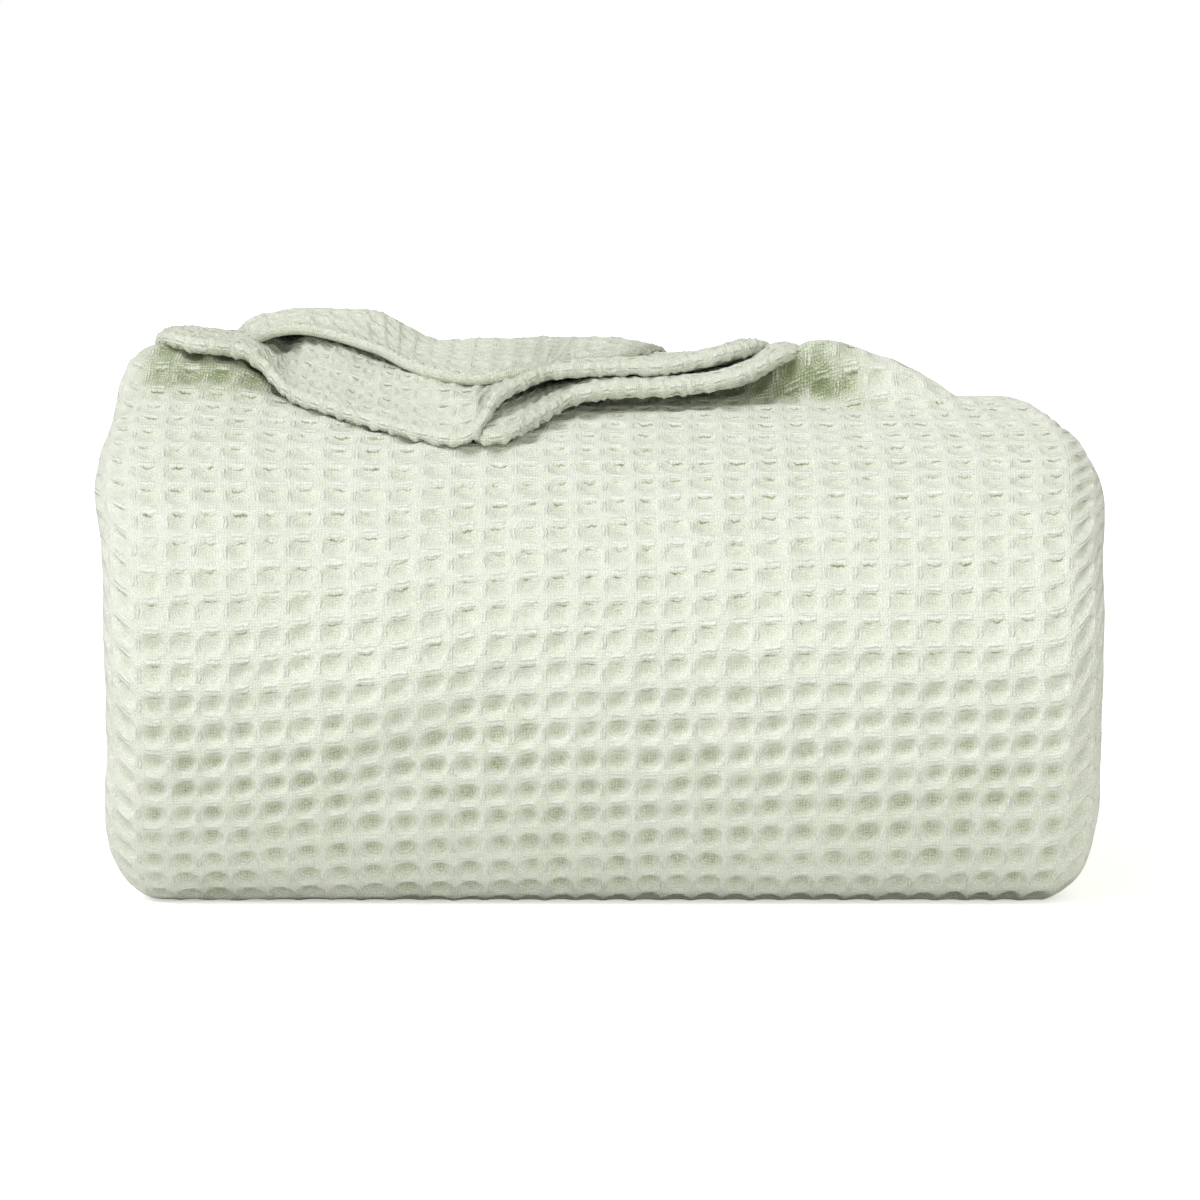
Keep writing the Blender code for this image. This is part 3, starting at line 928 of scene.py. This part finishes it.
# %% [markdown]
# ## Gathered cloth
#
# The flap is the same cloth, pushed together by hand: its squares are narrower
# and shallower. Along a tight fold they close up, and only the yarn's bumps
# and narrow slanting furrows are left, which makes the fold look like a cord.

# %% A piece of the flap
FLAP_PITCH = 9.4
FLAP_DEEP = 1.7  # depth of its squares
FOLD_FLATTER = 1.0  # and how much less that is along a tight fold
FURROW = 1.1  # depth of the furrows
HEM_DOUBLE = 2.0  # the hem is taken to be sewn double: this much thicker
END_HEM_WIDTH = 7.0
FLAP_SHADE = 0.75  # painted on, as on the front where it is sheltered
BEND = 9.0  # cloth used by a turn at the back
KNOT = 4.3  # mm between the small bumps of the yarn along a tight fold


def row_places(cells_before, cells_after):
    """Rows: fine over the turn at the start, stretched as far as the even
    rows next to the fold line, and stretched again to the end."""
    before, after = -cells_before * FLAP_PITCH, cells_after * FLAP_PITCH
    even = grid_lines(before, after, FLAP_PITCH, ROW_LINES)

    def wanted(first, last):
        bend = first[None] + np.linspace(0, BEND, 12)[:, None]
        share = np.linspace(0, 1, 18)[1:-1, None]
        rows = [bend, mix(bend[-1:], before, share)]
        rows.append(np.repeat(even[:, None], len(first), 1))
        if cells_after:
            rows.append(mix(after, last[None], np.linspace(0, 1, 22)[1:, None]))
        return np.concatenate(rows)

    return wanted


def places_across(fold, pitch, count=500):
    """Places s whose distances along a fold line fit the squares."""
    s = np.linspace(-1, 1, count)
    run = lengths(flap_point(*fold(s)))
    middle = run[-1] / 2
    p = grid_lines(-middle, middle, pitch, COLUMN_LINES)
    return np.interp(p + middle, run, s), p


def flap_piece(name, parts, start, wanted, fold, open_sides, inside_out=False):
    s, p = places_across(fold, FLAP_PITCH)
    path = np.concatenate([part(s) for part in parts])
    middle, q = resampled(path, start, wanted)
    p = np.broadcast_to(p[None], q.shape)
    fade = hem_fade(p[0, -1] - np.abs(p))
    if "t" in open_sides:
        fade = fade * hem_fade(q[-1:] - q, END_HEM_WIDTH)
    on_fold = 1 - ease((np.abs(q) - 5) / 7)
    deep = FLAP_DEEP - FOLD_FLATTER * on_fold
    relief = deep * waffle(p, q, FLAP_PITCH) * fade
    knots = np.sin(2 * math.pi * p / KNOT + 3.4 * ripple(p, q, 14, 8))
    relief = relief - 0.35 * ripple(p, q, 24, 7) - 0.1 * knots
    # furrows between the bumps, as on a rope
    rope = math.pi * (p / KNOT + 0.16 * q) + 1.6 * ripple(p, q, 15, 9)
    furrow = (1 - np.abs(np.sin(rope))) * (0.7 + 0.5 * ripple(p, q, 19, 10))
    relief = relief + FURROW * on_fold * furrow
    relief = relief - 0.25 * ripple(p, q, 8, 11) - 0.22 * ripple(p, q, 4.6, 12)
    thick = np.full(q.shape, FLAP_SHEET)
    if "t" in open_sides:
        thick = thick + HEM_DOUBLE * (1 - ease((q[-1:] - q - 5) / 4))
    size = PITCH / FLAP_PITCH
    grids = [middle, p * size, q * size, relief, thick]
    if inside_out:
        grids = [grid[:, ::-1] for grid in grids]
    return cloth(name, *grids[:4], open_sides, thick=grids[4], shade=FLAP_SHADE)


def cord_size(s):
    return through(CORD_SIZE, lower_cord(s)[1], 1)


# %% The flap's three pieces
flap_low = flap_piece(
    "flap_low",
    [
        lambda s: fold_path(turn, 0, 1, s, False),
        lambda s: layer_path(turn, lower_cord, 1, True, s)[1:],
        lambda s: fold_path(lower_cord, 1, -1, s, True, cord_size(s))[1:],
        lambda s: layer_path(lower_cord, pleat, 2, False, s, cord_size(s))[1:],
    ],
    25 + 59 + 12,
    row_places(3, 3),
    lower_cord,
    "lr",
)
flap_middle = flap_piece(
    "flap_middle",
    [
        lambda s: fold_path(pleat, 2, 1, s, False),
        lambda s: layer_path(pleat, lip, 3, True, s)[1:],
        lambda s: fold_path(lip, 3, -1, s, True)[1:],
        lambda s: layer_path(lip, last_turn, 4, False, s, GAP)[1:],
    ],
    25 + 59 + 12,
    row_places(4, 6),
    lip,
    "lr",
)
flap_hem = flap_piece(
    "flap_hem",
    [
        lambda s: fold_path(last_turn, 4, 1, s, False),
        lambda s: layer_path(last_turn, hem, 5, True, s)[1:],
    ],
    -1,
    row_places(9, 0),
    hem,
    "lrt",
    inside_out=True,
)

# %% [markdown]
# ## The layers inside
#
# The layers inside show only their edges at both ends and their folds at the
# back, so they are much coarser, with rows close together at their ends.

# %% The layers inside
def back_end(j, s):
    uneven = 2.6 * math.sin(2.1 * j + 0.4) + 1.6 * np.sin(0.9 * j + 2.3 * s)
    return DEPTH / 2 - SHEET / 2 - LAYER_STEP / 2 - 4.3 + uneven


def run_fold(k, low_side):
    """Which fold at the back this end of wrap k goes into."""
    if low_side:
        return k if k % 2 == 0 else k - 1
    return k - 1 if k % 2 == 0 else k


ACROSS_INSIDE = np.concatenate(
    [
        [-1, -0.993, -0.98, -0.965, -0.95, -0.93, -0.9, -0.86, -0.8],
        np.linspace(-0.7, 0.7, 13),
        [0.8, 0.86, 0.9, 0.93, 0.95, 0.965, 0.98, 0.993, 1],
    ]
)


def inner_wrap(k, s):
    """Wrap k from the back of its lower run to the back of its upper one."""
    low, high = wrap_sizes(k)[:2]
    under, over = front_curves(k, 40)
    rows = []
    for i in range(36):
        share = 1 - (1 - i / 36) ** 1.6
        y = mix(back_end(run_fold(k, True), s), under[0, 0], share)
        rows.append(place_wrap(k, y, low, 0, -1, s))
    curve = np.concatenate([under, over[1:]])
    normal = np.gradient(curve, axis=0)
    normal = unit(np.stack([-normal[:, 1], normal[:, 0]], axis=1))
    q = lengths(curve)
    at = np.linspace(0, q[-1], max(int(q[-1] / 3.0), 8))
    y, z = (np.interp(at, q, curve[:, i]) for i in (0, 1))
    ny, nz = (np.interp(at, q, normal[:, i]) for i in (0, 1))
    for i in range(len(at)):
        rows.append(place_wrap(k, y[i], z[i], ny[i], nz[i], s))
    for i in range(1, 37):
        share = 1 - (i / 36) ** 1.6
        y = mix(back_end(run_fold(k, False), s), over[-1, 0], share)
        rows.append(place_wrap(k, y, high, 0, 1, s))
    return rows if k % 2 == 0 else rows[::-1]


def back_turn(j, s):
    """The turn at the back from wrap j + 1 to wrap j."""
    low_side = j % 2 == 0
    z0, z1 = (wrap_sizes(k)[0 if low_side else 1] for k in (j + 1, j))
    rows = []
    for i in range(1, 8):
        angle = math.pi * i / 8
        share = (1 - math.cos(angle)) / 2
        z = mix(z0, z1, share)
        y = back_end(j, s) + LAYER_STEP / 2 * math.sin(angle)
        a = place_wrap(j + 1, y, z, 0, 0, s)
        b = place_wrap(j, y, z, 0, 0, s, 0.0 if j else 1.0)
        rows.append(mix(a, b, share))
    return rows


def underside_rows(s):
    """The outer wrap's run along the floor, from the back to the front."""
    rows = []
    for i in range(61):
        share = 1 - (1 - i / 60) ** 1.3
        y = mix(back_end(0, s), OUTER[0, 0], share)
        rows.append(place_wrap(0, y, SHEET / 2, 0, -1, s, 1 - share))
    return rows


def inside_piece(name, wraps, with_underside=False):
    s = ACROSS_INSIDE
    rows = []
    for k in wraps:
        rows += inner_wrap(k, s)
        if k:
            rows += back_turn(k - 1, s)
    if with_underside:
        rows += underside_rows(s)
    middle = np.stack(rows)
    steps = np.linalg.norm(np.diff(middle, axis=0), axis=-1)
    q = np.concatenate([np.zeros((1, len(s))), np.cumsum(steps, axis=0)])
    q = np.broadcast_to(q.mean(axis=1, keepdims=True), q.shape)
    p = np.broadcast_to(s * (HALF_WIDTH - INSET), q.shape)
    rim = ease((np.abs(s) - 0.9) * 10)
    relief = 0.7 * np.sin(2 * math.pi * q / PITCH) * rim
    return cloth(name, middle, p, q, relief, "lr", coarse=2)


inside_piece("layers_core", range(19, 9, -1))
inside_piece("layers_outer", range(9, 0, -1), with_underside=True)

# %% [markdown]
# ## Cotton
#
# The blanket is soft cotton yarn, dyed a pale sage green and woven thick.
# Cotton scatters light without gloss, and its loose fibre ends glow a little
# at grazing angles, which the sheen gives. The yarn shows as a fine grid over
# everything, and as short floats on the ridges, made bright by a painted highlight.
#
# The threads are small bumps over the relief, with painted shade between them.
# They are drawn wider apart than the real ones, which the picture can't show.

# %% Colours and the node helper
def linear(code):
    """sRGB hex to linear, with alpha."""
    channels = [int(code[i : i + 2], 16) / 255 for i in (0, 2, 4)]
    out = [c / 12.92 if c <= 0.04045 else ((c + 0.055) / 1.055) ** 2.4 for c in channels]
    return (*out, 1.0)


def add(tree, kind, settings=None, *inputs):
    """Add a node, set its properties and link or set its inputs in order."""
    node = tree.nodes.new("ShaderNode" + kind)
    for key, value in (settings or {}).items():
        setattr(node, key, value)
    for socket, value in zip(node.inputs, inputs):
        if value is None:
            continue
        if isinstance(value, bpy.types.NodeSocket):
            tree.links.new(value, socket)
        else:
            socket.default_value = value
    return node.outputs[0]


# %% The cotton's material
THREAD = 1.15  # mm between threads; the real 0.67 mm is too fine to show
RING_STEP = 1.0  # mm between the threads that bend around a square
ROW_STEP = 1.75  # mm between the two floats that lie side by side on a band
COLUMN_STEP = 1.3  # and between the two on a ridge
ROW_FLOAT = 0.25  # half their length, in shares of the pitch
COLUMN_FLOAT = 0.2


def cotton():
    material = bpy.data.materials.new("woven cotton")
    material.use_nodes = True
    tree = material.node_tree
    shader = tree.nodes["Principled BSDF"]

    def maths(operation, *inputs):
        return add(tree, "Math", {"operation": operation}, *inputs)

    def step(value, start, end):
        """0 before start and 1 after end, or the other way round."""
        return add(tree, "MapRange", {"interpolation_type": "SMOOTHSTEP"}, value, start, end)

    def times(*values):
        product = values[0]
        for value in values[1:]:
            product = maths("MULTIPLY", product, value)
        return product

    weave = add(tree, "UVMap", {"uv_map": "weave"})
    axes = add(tree, "SeparateXYZ", None, weave).node.outputs
    stray = add(tree, "TexNoise", {"noise_dimensions": "2D"}, weave, None, 420.0, 3.0)
    stray = maths("MULTIPLY", maths("SUBTRACT", stray, 0.5), 0.0016)
    px = maths("ADD", axes[0], stray)
    py = maths("SUBTRACT", axes[1], stray)

    def from_ridge(value):
        """Distance from the nearest ridge line, in pitches, with its side."""
        cell = maths("MULTIPLY", value, 1000 / PITCH)
        return maths("SUBTRACT", cell, maths("ROUND", cell))

    side_x, side_y = from_ridge(px), from_ridge(py)
    off_x, off_y = maths("ABSOLUTE", side_x), maths("ABSOLUTE", side_y)

    def stripes(value, every, phase=0.0):
        angle = maths("MULTIPLY_ADD", value, 2000 * math.pi / every, phase)
        return maths("MULTIPLY_ADD", maths("COSINE", angle), 0.5, 0.5)

    # every thread differs a little from the next, and so does every patch
    space = add(tree, "TexCoord").node.outputs["Object"]
    loose = add(tree, "TexNoise", {"noise_dimensions": "2D"}, weave, None, 160.0, 2.0)
    thick, lumps, patches = (
        add(tree, "TexNoise", {"noise_dimensions": "3D"}, space, None, *settings)
        for settings in ((1500.0, 2.0, 0.6), (380.0, 2.0, 0.6), (35.0, 3.0))
    )

    # the fine grid of threads, over and under in turn
    turn_x = maths("SINE", maths("MULTIPLY", px, 2000 * math.pi / THREAD / 2))
    turn_y = maths("SINE", maths("MULTIPLY", py, 2000 * math.pi / THREAD / 2))
    threads = maths("ABSOLUTE", maths("MULTIPLY", turn_x, turn_y))

    # the floats: long threads side by side, along the bands and up the ridges
    millimetres = PITCH / 1000
    on_band = step(off_y, 0.155, 0.125)
    mid_x = step(off_x, 0.5 - ROW_FLOAT - 0.05, 0.5 - ROW_FLOAT + 0.05)
    row_lines = stripes(maths("MULTIPLY", side_y, millimetres), ROW_STEP, math.pi)
    row_floats = times(on_band, mid_x, row_lines)
    on_ridge = step(off_x, 0.11, 0.08)
    mid_y = step(off_y, 0.5 - COLUMN_FLOAT - 0.05, 0.5 - COLUMN_FLOAT + 0.05)
    column_lines = stripes(maths("MULTIPLY", side_x, millimetres), COLUMN_STEP, math.pi)
    column_floats = times(on_ridge, mid_y, column_lines)
    floats = maths("MAXIMUM", row_floats, column_floats)

    # in a square the threads bend around its middle
    mid_off_x, mid_off_y = maths("SUBTRACT", 0.5, off_x), maths("SUBTRACT", 0.5, off_y)
    squared = maths("ADD", times(mid_off_x, mid_off_x), times(mid_off_y, mid_off_y, 1.5))
    radius = maths("SQRT", squared)
    radius = maths("MULTIPLY_ADD", maths("SUBTRACT", loose, 0.5), 0.16, radius)
    on_wall = times(step(radius, 0.12, 0.24), step(radius, 0.46, 0.36))
    rings = stripes(maths("MULTIPLY", radius, millimetres), RING_STEP)
    share = times(on_wall, 0.7)
    rings = maths("MULTIPLY", maths("SUBTRACT", rings, threads), share)
    plain = maths("ADD", threads, rings)

    # the slot between the lowest float and the square under it: a groove in the
    # bump, and a painted shadow in the colour
    under = times(step(side_y, -0.22, -0.19), step(side_y, -0.155, -0.18))
    slot = times(under, step(off_x, 0.2, 0.36), step(loose, 0.3, 0.66))

    hollow = add(tree, "Attribute", {"attribute_name": "hollow"}).node.outputs["Fac"]

    height = maths("MULTIPLY_ADD", floats, 1.5, maths("MULTIPLY", plain, 0.75))
    height = maths("MULTIPLY_ADD", thick, 1.1, height)
    height = maths("MULTIPLY_ADD", lumps, 2.2, height)
    height = maths("MULTIPLY_ADD", slot, -1.5, height)
    bump = add(tree, "Bump", None, 0.85, 0.00035).node
    tree.links.new(height, bump.inputs["Height"])
    tree.links.new(bump.outputs[0], shader.inputs["Normal"])

    # colour: pale ridges; painted shade that grows with the depth of the squares
    # and with the shade painted on each piece; painted shade between threads
    shade = maths("MULTIPLY_ADD", hollow, 0.17, 0.2)
    shade = maths("MULTIPLY_ADD", maths("SUBTRACT", 0.5, plain), 0.42, shade)
    shade = maths("MULTIPLY_ADD", maths("SUBTRACT", patches, 0.5), 0.3, shade)
    shade = maths("MULTIPLY_ADD", maths("SUBTRACT", thick, 0.5), 0.75, shade)
    shade = maths("MULTIPLY_ADD", maths("SUBTRACT", 0.5, lumps), 0.45, shade)
    # painted highlight on the floats, and painted shade in the gaps between them
    on_float = maths("MAXIMUM", times(on_band, mid_x), times(on_ridge, mid_y))
    shade = maths("MULTIPLY_ADD", times(on_float, maths("SUBTRACT", 0.2, floats)), 0.5, shade)
    # painted shadow in the slot under the float
    shade = maths("MULTIPLY_ADD", slot, 0.6, shade)
    # the ramp runs from the pale cotton to the dark olive of the deepest painted shade
    tones = add(tree, "ValToRGB", None, shade)
    ramp = tones.node.color_ramp
    ramp.elements[0].position, ramp.elements[0].color = 0.0, linear("E6E8E0")
    ramp.elements[1].position, ramp.elements[1].color = 1.0, linear("87916B")
    middle_tone = ramp.elements.new(0.5)
    middle_tone.color = linear("CCD2C0")
    tree.links.new(tones, shader.inputs["Base Color"])
    shader.inputs["Roughness"].default_value = 0.92
    shader.inputs["Specular IOR Level"].default_value = 0.2
    shader.inputs["Sheen Weight"].default_value = 0.2
    shader.inputs["Sheen Roughness"].default_value = 0.6
    return material


COTTON = cotton()
PIECES = [o for o in bpy.context.scene.objects if o.type == "MESH" and "weave" in o.data.uv_layers]
for piece in PIECES:
    piece.data.materials.append(COTTON)
print("pieces of cloth:", [piece.name for piece in PIECES])

# %% [markdown]
# ## Floor, light and camera
#
# The photograph is a bright product shot: white all around, soft light from
# above and a little from the left, and only a thin shadow at the floor. Such a
# white is burnt out on purpose. Here the camera alone sees the floor glow and
# the background white, and the cloth is lit by the plain ones.

# %% Floor
floor_mesh = bpy.data.meshes.new("floor")
floor_mesh.from_pydata([(-9, -9, 0), (9, -9, 0), (9, 9, 0), (-9, 9, 0)], [], [(0, 1, 2, 3)])
floor = bpy.data.objects.new("floor", floor_mesh)
bpy.context.scene.collection.objects.link(floor)
paper = bpy.data.materials.new("white paper")
paper.use_nodes = True
seen = paper.node_tree.nodes.new("ShaderNodeLightPath").outputs["Is Camera Ray"]
plain_or_white = add(paper.node_tree, "MixRGB", None, seen, linear("F8F8F6"), linear("FEFEFE"))
glow = add(paper.node_tree, "Math", {"operation": "MULTIPLY"}, seen, 0.5)
paper_shader = paper.node_tree.nodes["Principled BSDF"]
paper.node_tree.links.new(plain_or_white, paper_shader.inputs["Base Color"])
paper.node_tree.links.new(glow, paper_shader.inputs["Emission Strength"])
paper_shader.inputs["Emission Color"].default_value = (1.0, 1.0, 1.0, 1.0)
paper_shader.inputs["Roughness"].default_value = 0.9
floor_mesh.materials.append(paper)

# %% Light
# The camera sees a white background. The light it gives is weaker and warmer,
# so that the high softbox can model the relief. The front fill lifts the
# lower half, which a white floor and a reflector would do in a studio.
world = bpy.data.worlds.new("studio")
world.use_nodes = True
sky = world.node_tree.nodes["Background"]
sky.inputs["Strength"].default_value = 1.0
seen = world.node_tree.nodes.new("ShaderNodeLightPath").outputs["Is Camera Ray"]
SOFT, WHITE = (0.64, 0.64, 0.585, 1.0), (1.0, 1.0, 1.0, 1.0)
soft_or_white = add(world.node_tree, "MixRGB", None, seen, SOFT, WHITE)
world.node_tree.links.new(soft_or_white, sky.inputs["Color"])
bpy.context.scene.world = world


def softbox(name, angle, energy, colour, direction):
    lamp = bpy.data.lights.new(name, "SUN")
    lamp.angle, lamp.energy, lamp.color = math.radians(angle), energy, colour
    holder = bpy.data.objects.new(name, lamp)
    bpy.context.scene.collection.objects.link(holder)
    holder.rotation_euler = Vector(direction).to_track_quat("Z", "Y").to_euler()


softbox("high softbox", 32, 2.0, (0.94, 0.94, 1.0), (-0.68, -0.85, 1.25))
softbox("front fill", 30, 0.48, (1.0, 1.0, 0.9), (0.1, -1.0, 0.06))
bpy.context.scene.view_settings.view_transform = "Standard"

# %% Camera
# It stands 1.85 m in front, looks 5 degrees down, and a square picture shows
# 0.462 m across at the blanket's front.
ELEVATION = math.radians(5)
DISTANCE = 1.85
PIXEL = 0.000385  # metres to a pixel at the front
ABOVE = 0.1256  # from the floor at the front up to the picture's middle
FRONT_PLANE = -0.1535
PICTURE = 1200  # pixels across
LEFT_OF_MIDDLE = 3.5  # pixels, the camera from the blanket's middle
camera_data = bpy.data.cameras.new("camera")
camera = bpy.data.objects.new("camera", camera_data)
bpy.context.scene.collection.objects.link(camera)
cos_e, sin_e = math.cos(ELEVATION), math.sin(ELEVATION)
camera.location = (
    -LEFT_OF_MIDDLE * PIXEL + SHIFT[0] * 0.001,
    FRONT_PLANE - DISTANCE * cos_e + ABOVE * sin_e + SHIFT[1] * 0.001,
    DISTANCE * sin_e + ABOVE * cos_e,
)
camera.rotation_euler = (math.pi / 2 - ELEVATION, 0, 0)
camera_data.sensor_width = 36
camera_data.lens = camera_data.sensor_width * DISTANCE / PIXEL / PICTURE
bpy.context.scene.camera = camera

# %% [markdown]
# ## Attaching the cloth
#
# Every piece is part of one folded sheet. Its flat width is the front's width
# with the curled-in ends. Each piece is attached to the root body, and the
# blanket's plain solid is hidden.

for piece in PIECES:
    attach(piece, "root")
    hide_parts("blanket")
